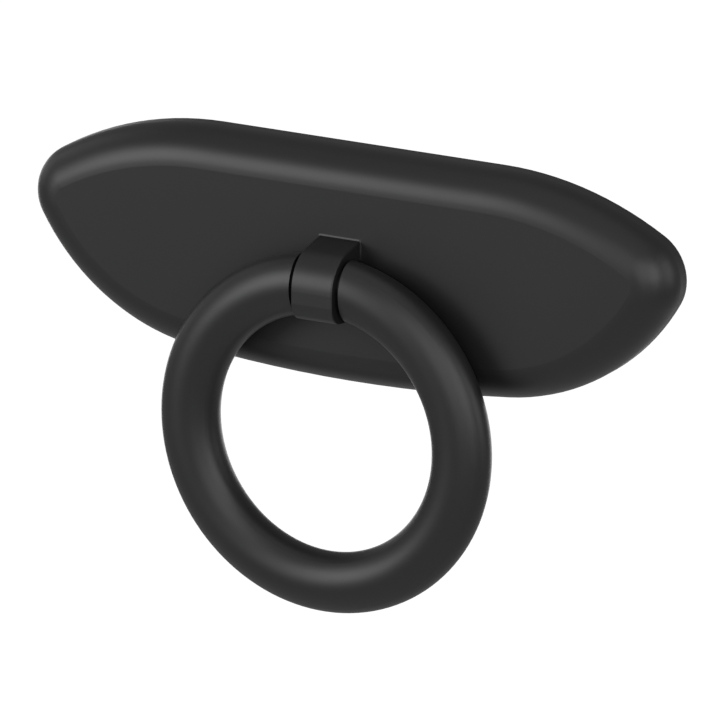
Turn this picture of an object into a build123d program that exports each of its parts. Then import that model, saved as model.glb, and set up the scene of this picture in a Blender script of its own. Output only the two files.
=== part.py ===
from build123d import *
from math import acos, asin, cos, degrees, hypot, radians, sqrt, tan
import os

# Drop ring pull for a cabinet or drawer front: a boat-shaped backplate, a strap and a hanging ring.
# X runs along the plate, +Y points into the cabinet front, +Z is up. The origin is the mouth of the
# tapped hole, in the plane of the plate's back and level with the axis that the ring swings about.

# Backplate outline, with heights measured from the origin
plate_length = 76.0
top_height = 13.1
bottom_depth = 12.35
tip_height = 3.6
tip_radius = 5.2
top_straight = 33.5
bow_chord = 37.0
bow_radius = 170.0

# Backplate section
plate_thickness = 5.2
front_edge_radius = 3.85
rim_wall = 2.0
front_wall = 2.0
boss_wall = 1.5
boss_root_radius = 0.8

# Blind tapped hole in the boss, cored to the thread's inner diameter
thread_core_radius = 1.65
thread_depth = 4.1
thread_mouth_chamfer = 0.35

# Ring: oval bar of two radii, cut back at the top to a straight round pin that swings in the strap
ring_outer_diameter = 38.8
bar_width = 6.5
bar_depth = 5.35
bar_rim_share = 0.43
shoulder_gap = 0.5
pin_radius = 2.0
pin_rise = 0.17
swing_clearance = 0.14

# Strap, with heights measured from the pin's axis
strap_width = 4.85
strap_wall = 1.02
strap_edge_radius = 0.15
bore_clearance = 0.08
foot_reach = 4.12
brow_radius = 4.0
brow_height = -0.37
chin_radius = 2.15
chin_height = -1.68
foot_flare = 0.16
foot_flare_slope = 17.0

# Tenons of the strap, peened over in pockets at the back of the plate
tenon_thickness = 0.9
tenon_shoulder = 0.8
tenon_set_in = 0.3
slot_clearance = 0.05
head_spread = 0.3
head_height = 0.9
head_edge_radius = 0.3
pocket_clearance = 0.15
pocket_depth = 1.3

# The pin's axis lies a little above the middle of the bar, and so far off the plate that the upper
# corners of the shoulders clear it when the ring stands straight out
ring_mean_radius = (ring_outer_diameter - bar_width) / 2
shoulder_half = strap_width / 2 + shoulder_gap
shoulder_reach = sqrt((ring_outer_diameter / 2)**2 - shoulder_half**2) - ring_mean_radius - pin_rise
axis_standoff = max(shoulder_reach, bar_depth / 2) + swing_clearance
axis_y = -(plate_thickness + axis_standoff)
bore_radius = pin_radius + bore_clearance
strap_front = axis_y - bore_radius - strap_wall

# Tenon, slot and pocket sizes all follow the legs of the strap
leg_middle = foot_reach - tenon_set_in - tenon_thickness / 2
tenon_width = strap_width - 2 * tenon_shoulder
head_width = tenon_width + 2 * head_spread
head_thickness = tenon_thickness + 2 * head_spread
pocket_width = head_width + 2 * pocket_clearance
pocket_thickness = head_thickness + 2 * pocket_clearance
boss_radius = hypot(pocket_width / 2, leg_middle + pocket_thickness / 2) + boss_wall

# The core's inner corner follows the rounded front edge at an even wall
core_edge_radius = max(front_edge_radius - rim_wall, boss_root_radius)

# Corners of the outline's right end, where its arcs meet
tip_center = Vector(plate_length / 2 - tip_radius, tip_height)
tip = tip_center + Vector(tip_radius, 0)
top_end = Vector(top_straight / 2, top_height)
bow_angle = asin(bow_chord / 2 / bow_radius)
bow_end = Vector(bow_chord / 2, bow_radius * (1 - cos(bow_angle)) - bottom_depth)
bow_out = Vector(bow_chord / 2 / bow_radius, -cos(bow_angle))


def touch_tip(start, outward):
    """Where the arc that leaves start square to outward runs smoothly into the tip round."""
    reach = tip_center - start
    radius = (tip_radius**2 - reach.dot(reach)) / (2 * (reach.dot(outward) + tip_radius))
    arc_center = start - outward * radius
    return tip_center + (tip_center - arc_center).normalized() * tip_radius


top_touch = touch_tip(top_end, Vector(0, 1))
bow_touch = touch_tip(bow_end, bow_out)

# Corners of the strap's side, where its straight legs run into the rounds at its front
upper_foot = Vector(-plate_thickness, foot_reach)
lower_foot = Vector(-plate_thickness, -foot_reach)
brow_center = Vector(strap_front + brow_radius, brow_height)
chin_center = Vector(strap_front + chin_radius, chin_height)


def touch_round(foot, center, radius, turn):
    """Where a line from foot touches the round, anticlockwise (1) or clockwise (-1) of the foot."""
    reach = foot - center
    angle = degrees(acos(radius / reach.length))
    return center + reach.normalized().rotate(Axis.Z, turn * angle) * radius


upper_touch = touch_round(upper_foot, brow_center, brow_radius, 1)
lower_touch = touch_round(lower_foot, chin_center, chin_radius, -1)

# The bar's outline: the rim rounds meet the flatter sides at one blend point in each quarter
bar_rim_radius = bar_rim_share * bar_depth
rim_center = bar_width / 2 - bar_rim_radius
side_radius = (rim_center**2 + (bar_depth / 2)**2 - bar_rim_radius**2) / (bar_depth - 2 * bar_rim_radius)
side_center = bar_depth / 2 - side_radius
blend = Vector(0, rim_center) + Vector(-side_center, rim_center).normalized() * bar_rim_radius

os.makedirs("parts", exist_ok=True)

# Backplate: a die casting with a rounded front edge and a cored back
with BuildPart() as backplate:
    with BuildSketch(Plane.XZ) as outline:
        with BuildLine():
            Line((-top_end.X, top_end.Y), top_end)
            ThreePointArc((-bow_end.X, bow_end.Y), (0, -bottom_depth), bow_end)
            upper_end = TangentArc(top_end, top_touch, tangent=(1, 0))
            nose = ThreePointArc(top_touch, tip, bow_touch)
            lower_end = TangentArc(bow_end, bow_touch, tangent=(-bow_out.Y, bow_out.X))
            mirror([upper_end, nose, lower_end], about=Plane.YZ)
        make_face()
    extrude(amount=plate_thickness)
    fillet(backplate.edges().group_by(Axis.Y)[0], front_edge_radius)

    # Core of the back, which leaves the rim, the front wall and the boss
    with BuildSketch(Plane.XZ):
        add(outline.sketch_local)
        offset(amount=-rim_wall)
        Circle(boss_radius, mode=Mode.SUBTRACT)
    extrude(amount=plate_thickness - front_wall, mode=Mode.SUBTRACT)
    core_floor = backplate.faces().filter_by(Axis.Y).sort_by(Axis.Y)[1]
    fillet(core_floor.outer_wire().edges(), core_edge_radius)
    core_floor = backplate.faces().filter_by(Axis.Y).sort_by(Axis.Y)[1]
    fillet(core_floor.inner_wires()[0].edges(), boss_root_radius)

    # Tapped hole with a chamfered mouth
    with BuildSketch(Plane.XY):
        with BuildLine():
            mouth_radius = thread_core_radius + thread_mouth_chamfer
            Polyline(
                (0, 0),
                (mouth_radius, 0),
                (thread_core_radius, -thread_mouth_chamfer),
                (thread_core_radius, -thread_depth),
                (0, -thread_depth),
                close=True,
            )
        make_face()
    revolve(axis=Axis.Y, mode=Mode.SUBTRACT)

    # Slots for the tenons, each with a pocket for its peened head
    with BuildSketch(Plane.XZ):
        with GridLocations(0, 2 * leg_middle, 1, 2):
            Rectangle(tenon_width + 2 * slot_clearance, tenon_thickness + 2 * slot_clearance)
    extrude(amount=plate_thickness, mode=Mode.SUBTRACT)
    with BuildSketch(Plane.XZ):
        with GridLocations(0, 2 * leg_middle, 1, 2):
            Rectangle(pocket_width, pocket_thickness)
    extrude(amount=pocket_depth, mode=Mode.SUBTRACT)

# Strap: a saddle over the pin, with flared feet, tenons and peened heads
with BuildPart() as strap:
    with BuildSketch(Plane.YZ):
        with BuildLine():
            upper_leg = Line(upper_foot, upper_touch)
            lower_leg = Line(lower_foot, lower_touch)
            front = Line((strap_front, brow_height), (strap_front, chin_height))
            TangentArc(upper_touch, front @ 0, tangent=upper_leg % 1)
            TangentArc(lower_touch, front @ 1, tangent=lower_leg % 1)
            Line(upper_foot, lower_foot)
        make_face()
    extrude(amount=strap_width / 2, both=True)
    side_edges = strap.faces().filter_by(Axis.X).edges().sort_by(Axis.Y)
    edges_off_the_plate = side_edges[:-2]
    fillet(edges_off_the_plate, strap_edge_radius)
    with BuildSketch(Plane.XZ.offset(plate_thickness)):
        RectangleRounded(strap_width + 2 * foot_flare, 2 * (foot_reach + foot_flare),
                         strap_edge_radius + foot_flare)
    flare_height = foot_flare * tan(radians(foot_flare_slope))
    extrude(amount=1.5 * flare_height, taper=90 - foot_flare_slope)
    with BuildSketch(Plane.YZ):
        with Locations((axis_y, 0)):
            Circle(bore_radius)
            Rectangle(axis_standoff, 2 * bore_radius, align=(Align.MIN, Align.CENTER))
    extrude(amount=strap_width, both=True, mode=Mode.SUBTRACT)
    with BuildSketch(Plane.XZ.offset(pocket_depth)):
        with GridLocations(0, 2 * leg_middle, 1, 2):
            Rectangle(tenon_width, tenon_thickness)
    extrude(amount=plate_thickness - pocket_depth)
    with BuildSketch(Plane.XZ.offset(pocket_depth - head_height)):
        with GridLocations(0, 2 * leg_middle, 1, 2):
            Rectangle(head_width, head_thickness)
    extrude(amount=head_height)
    fillet(strap.edges().group_by(Axis.Y)[-1], head_edge_radius)

# Ring: oval bar closed into a ring, hanging plumb, with the pin between two flat shoulders
with BuildPart() as ring:
    with BuildSketch(Plane.YZ.shift_origin((0, axis_y, -pin_rise))):
        with BuildLine():
            rim = ThreePointArc((-blend.X, blend.Y), (0, bar_width / 2), blend)
            side = ThreePointArc(blend, (bar_depth / 2, 0), (blend.X, -blend.Y))
            mirror(rim, about=Plane.XZ)
            mirror(side, about=Plane.YZ)
        make_face()
    revolve(axis=Axis((0, axis_y, -pin_rise - ring_mean_radius), (0, 1, 0)))
    with Locations((0, axis_y, 0)):
        Box(2 * shoulder_half, 2 * bar_depth, 1.5 * bar_width, mode=Mode.SUBTRACT)
    with BuildSketch(Plane.YZ):
        with Locations((axis_y, 0)):
            Circle(pin_radius)
    extrude(amount=shoulder_half, both=True)

for piece, name in ((backplate, "backplate"), (strap, "strap"), (ring, "ring")):
    piece.part.label = name
    export_step(piece.part, f"parts/{name}.step")
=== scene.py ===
import math

import bmesh
import bpy
from mathutils import Matrix, Vector


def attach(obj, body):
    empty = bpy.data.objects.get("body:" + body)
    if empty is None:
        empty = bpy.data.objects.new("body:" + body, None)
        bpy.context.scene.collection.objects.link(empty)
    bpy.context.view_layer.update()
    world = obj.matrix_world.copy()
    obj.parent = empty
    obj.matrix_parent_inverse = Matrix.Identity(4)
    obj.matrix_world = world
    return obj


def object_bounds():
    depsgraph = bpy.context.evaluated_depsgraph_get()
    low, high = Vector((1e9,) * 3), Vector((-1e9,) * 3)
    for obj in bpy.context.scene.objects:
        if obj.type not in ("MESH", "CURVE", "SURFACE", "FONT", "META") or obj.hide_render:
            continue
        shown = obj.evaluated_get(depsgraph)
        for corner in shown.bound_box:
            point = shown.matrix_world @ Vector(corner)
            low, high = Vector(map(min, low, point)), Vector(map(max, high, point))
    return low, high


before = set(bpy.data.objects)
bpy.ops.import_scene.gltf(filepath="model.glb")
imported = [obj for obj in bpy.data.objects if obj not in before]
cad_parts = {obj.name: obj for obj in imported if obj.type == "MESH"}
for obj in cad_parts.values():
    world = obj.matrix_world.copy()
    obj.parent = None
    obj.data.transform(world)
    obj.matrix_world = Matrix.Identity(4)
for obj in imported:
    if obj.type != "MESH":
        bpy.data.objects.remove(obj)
cad_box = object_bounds()

# Backplate: the long boat-shaped plate that the pull is screwed on by. It is a zinc die casting,
# cored out at the back, and powder coated matte black all over.
MM = 0.001


class Wire:
    """An output in a node tree. Its operators add Math nodes, and node() adds any other node."""

    def __init__(self, tree, socket=None):
        self.tree = tree
        self.socket = socket

    def node(self, kind, inputs=None, out=0, **settings):
        made = self.tree.nodes.new(kind)
        for key, value in settings.items():
            setattr(made, key, value)
        for key, value in (inputs or {}).items():
            if isinstance(value, Wire):
                self.tree.links.new(value.socket, made.inputs[key])
            else:
                made.inputs[key].default_value = value
        return Wire(self.tree, made.outputs[out]) if made.outputs else None

    def __add__(self, other):
        return self.node("ShaderNodeMath", {0: self, 1: other}, operation="ADD")

    def __mul__(self, other):
        return self.node("ShaderNodeMath", {0: self, 1: other}, operation="MULTIPLY")

    __radd__ = __add__
    __rmul__ = __mul__


def empty_tree(owner):
    """Clears the node tree of a material or world, and returns a wire to build from."""
    owner.use_nodes = True
    owner.node_tree.nodes.clear()
    return Wire(owner.node_tree)


def powder_coat(name, peel_length):
    """Matte black powder coat: a smooth film that cured with a faint, soft orange peel."""
    darkest = (0.0081, 0.0081, 0.0081, 1)
    lightest = (0.0099, 0.0099, 0.0099, 1)
    smoothest, roughest = 0.41, 0.47
    peel_height = 0.001 * MM
    clouds_per_mm = 0.06
    coat = bpy.data.materials.new(name)
    start = empty_tree(coat)
    place = start.node("ShaderNodeTexCoord", out="Object")
    peel = start.node("ShaderNodeTexNoise", {
        "Vector": place, "Scale": 1 / peel_length, "Detail": 2.0})
    cloud = start.node("ShaderNodeTexNoise", {
        "Vector": place, "Scale": clouds_per_mm / MM, "Detail": 1.0})
    colour = start.node("ShaderNodeMix", {
        "Factor": cloud, "A": darkest, "B": lightest}, out="Result", data_type="RGBA")
    sheen = smoothest + (roughest - smoothest) * cloud
    relief = start.node("ShaderNodeBump", {"Height": peel, "Distance": peel_height})
    film = start.node("ShaderNodeBsdfPrincipled", {
        "Base Color": colour, "Roughness": sheen, "Normal": relief})
    start.node("ShaderNodeOutputMaterial", {"Surface": film})
    return coat


def finish_node(name, coat):
    """Puts a finish on a CAD node and shades it smooth inside each of its faces."""
    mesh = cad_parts[name].data
    mesh.materials.clear()
    mesh.materials.append(coat)
    mesh.shade_smooth()


plate_black = powder_coat("plate_black", 0.6 * MM)
finish_node("backplate", plate_black)

# Thread: the M4 thread in the boss of the plate, which takes the fixing screw. It is one ridge, wound
# up the cored hole as a helix, and carries the same coat as the plate. The ridge starts as a triangle
# with its base on the wall of the hole and its crest towards the axis.
pitch = 0.7 * MM
turns, turn_steps = 4.5, 32
core_radius = 1.65 * MM
ridge_height = 0.14 * MM
ridge_stretch = 3.0
first_ridge = -0.55 * MM
thread_mesh = bpy.data.meshes.new("thread")
thread_bm = bmesh.new()
crest_inwards = Matrix.Rotation(math.radians(90), 4, "Z")
ridge = bmesh.ops.create_circle(
    thread_bm, segments=3, radius=2 / 3 * ridge_height, matrix=crest_inwards)["verts"]
bmesh.ops.scale(thread_bm, vec=(1, ridge_stretch, 1), verts=ridge)
bmesh.ops.translate(thread_bm, vec=(core_radius - ridge_height / 3, first_ridge, 0), verts=ridge)
bmesh.ops.spin(
    thread_bm, geom=thread_bm.verts[:] + thread_bm.edges[:], cent=(0, 0, 0), axis=(0, 1, 0),
    dvec=(0, -pitch / turn_steps, 0), angle=math.tau * turns, steps=int(turns * turn_steps))
bmesh.ops.holes_fill(thread_bm, edges=[e for e in thread_bm.edges if e.is_boundary], sides=3)
bmesh.ops.recalc_face_normals(thread_bm, faces=thread_bm.faces)
thread_bm.to_mesh(thread_mesh)
thread_bm.free()
thread_mesh.materials.append(plate_black)
thread = bpy.data.objects.new("thread", thread_mesh)
bpy.context.scene.collection.objects.link(thread)
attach(thread, "plate")

# Strap: a small steel saddle over the pin of the ring. Its feet seat on the plate, and its tenons go
# through two slots and are peened over at the back.
finish_node("strap", powder_coat("strap_black", 0.5 * MM))

# Ring: the closed ring that the fingers pull, cast in one piece of slightly oval bar. At the top the
# bar is cut back between two flat shoulders to a straight pin, which swings in the strap.
finish_node("ring", powder_coat("ring_black", 0.6 * MM))

# Floor: a plain sheet of studio paper, so far below the pull that no shadow of it reaches the picture.
# It is white to the camera and dimmer in the coat, which mirrors it softly.
floor_drop = 300 * MM
floor_reach = 6000 * MM
paper_grey = (0.42, 0.42, 0.42, 1)
mirrored_share = 0.22
floor_mesh = bpy.data.meshes.new("floor")
floor_bm = bmesh.new()
bmesh.ops.create_grid(floor_bm, x_segments=1, y_segments=1, size=floor_reach)
bmesh.ops.translate(floor_bm, vec=(0, 0, cad_box[0].z - floor_drop), verts=floor_bm.verts)
floor_bm.to_mesh(floor_mesh)
floor_bm.free()
floor = bpy.data.objects.new("floor", floor_mesh)
bpy.context.scene.collection.objects.link(floor)


def white_to_camera(tree):
    """1 for what the camera sees straight on or through glass, and a share of it in reflections."""
    return (tree.node("ShaderNodeLightPath", out="Is Camera Ray")
            + tree.node("ShaderNodeLightPath", out="Is Transmission Ray")
            + mirrored_share * tree.node("ShaderNodeLightPath", out="Is Glossy Ray"))


floor_paper = bpy.data.materials.new("floor_paper")
floor_mesh.materials.append(floor_paper)
paper = empty_tree(floor_paper)
matt = paper.node("ShaderNodeBsdfDiffuse", {"Color": paper_grey})
glow = paper.node("ShaderNodeEmission", {"Strength": white_to_camera(paper)})
lit_paper = paper.node("ShaderNodeAddShader", {0: matt, 1: glow})
paper.node("ShaderNodeOutputMaterial", {"Surface": lit_paper})

# Light: a dim even room and seven soft boxes. One on the left draws the bright bands, two on the right
# fill the front, and the rest light the rims, the upper sides and the back.
room_light = 0.05
room_glow = 0.9
room = bpy.data.worlds.new("room")
walls = empty_tree(room)
white_walls = walls.node("ShaderNodeBackground", {
    "Color": (1, 1, 1, 1), "Strength": room_light + room_glow * white_to_camera(walls)})
walls.node("ShaderNodeOutputWorld", {"Surface": white_walls})
bpy.context.scene.world = room
aim = Vector((0, -5 * MM, -8 * MM))
box_distance = 600 * MM


def direction(azimuth, elevation):
    """The way from the pull to an azimuth and an elevation in degrees, where 0, 0 is straight in front."""
    turned, raised = math.radians(azimuth), math.radians(elevation)
    return Vector((math.sin(turned) * math.cos(raised), -math.cos(turned) * math.cos(raised),
                   math.sin(raised)))


def soft_box(name, azimuth, elevation, width, height, power):
    """A soft box that faces the pull, with its power in watts."""
    lamp = bpy.data.lights.new(name, "AREA")
    lamp.shape = "RECTANGLE"
    lamp.size, lamp.size_y = width, height
    lamp.energy = power
    box = bpy.data.objects.new(name, lamp)
    away = direction(azimuth, elevation)
    box.location = aim + away * box_distance
    box.rotation_euler = away.to_track_quat("Z", "Y").to_euler()
    bpy.context.scene.collection.objects.link(box)


soft_box("key_box", azimuth=-38, elevation=15, width=270 * MM, height=360 * MM, power=1.72)
soft_box("front_box", azimuth=18, elevation=17, width=270 * MM, height=480 * MM, power=0.92)
soft_box("right_box", azimuth=54, elevation=17, width=270 * MM, height=420 * MM, power=1.2)
soft_box("rim_box", azimuth=100, elevation=15, width=270 * MM, height=480 * MM, power=0.74)
soft_box("left_box", azimuth=-100, elevation=18, width=270 * MM, height=480 * MM, power=0.28)
soft_box("top_box", azimuth=0, elevation=80, width=600 * MM, height=500 * MM, power=0.37)
soft_box("back_box", azimuth=200, elevation=-12, width=900 * MM, height=300 * MM, power=1.8)

# Camera: far back with a long lens, to the right of the pull and a little above it. It is level, and
# its place and lens were fitted to the edges of the pull in the photograph.
azimuth, elevation = 29.0056, 17.1515
distance = 1365.25 * MM
shift_right, shift_up = 0.199 * MM, 13.7155 * MM
focal_px, frame_px = 13097.2, 724
sensor_mm = 36.0
sight_limit = 20.0
tip_line = Vector((0, 0, 3.6 * MM))
back = direction(azimuth, elevation)
right = Vector((math.cos(math.radians(azimuth)), math.sin(math.radians(azimuth)), 0))
up = back.cross(right)
lens = bpy.data.cameras.new("camera")
lens.sensor_width = sensor_mm
lens.lens = focal_px / frame_px * sensor_mm
lens.clip_end = sight_limit
camera = bpy.data.objects.new("camera", lens)
standpoint = tip_line + back * distance - right * shift_right - up * shift_up
turn = Matrix((right, up, back)).transposed().to_4x4()
camera.matrix_world = Matrix.Translation(standpoint) @ turn
bpy.context.scene.collection.objects.link(camera)
bpy.context.scene.camera = camera
bpy.context.scene.view_settings.view_transform = "Standard"
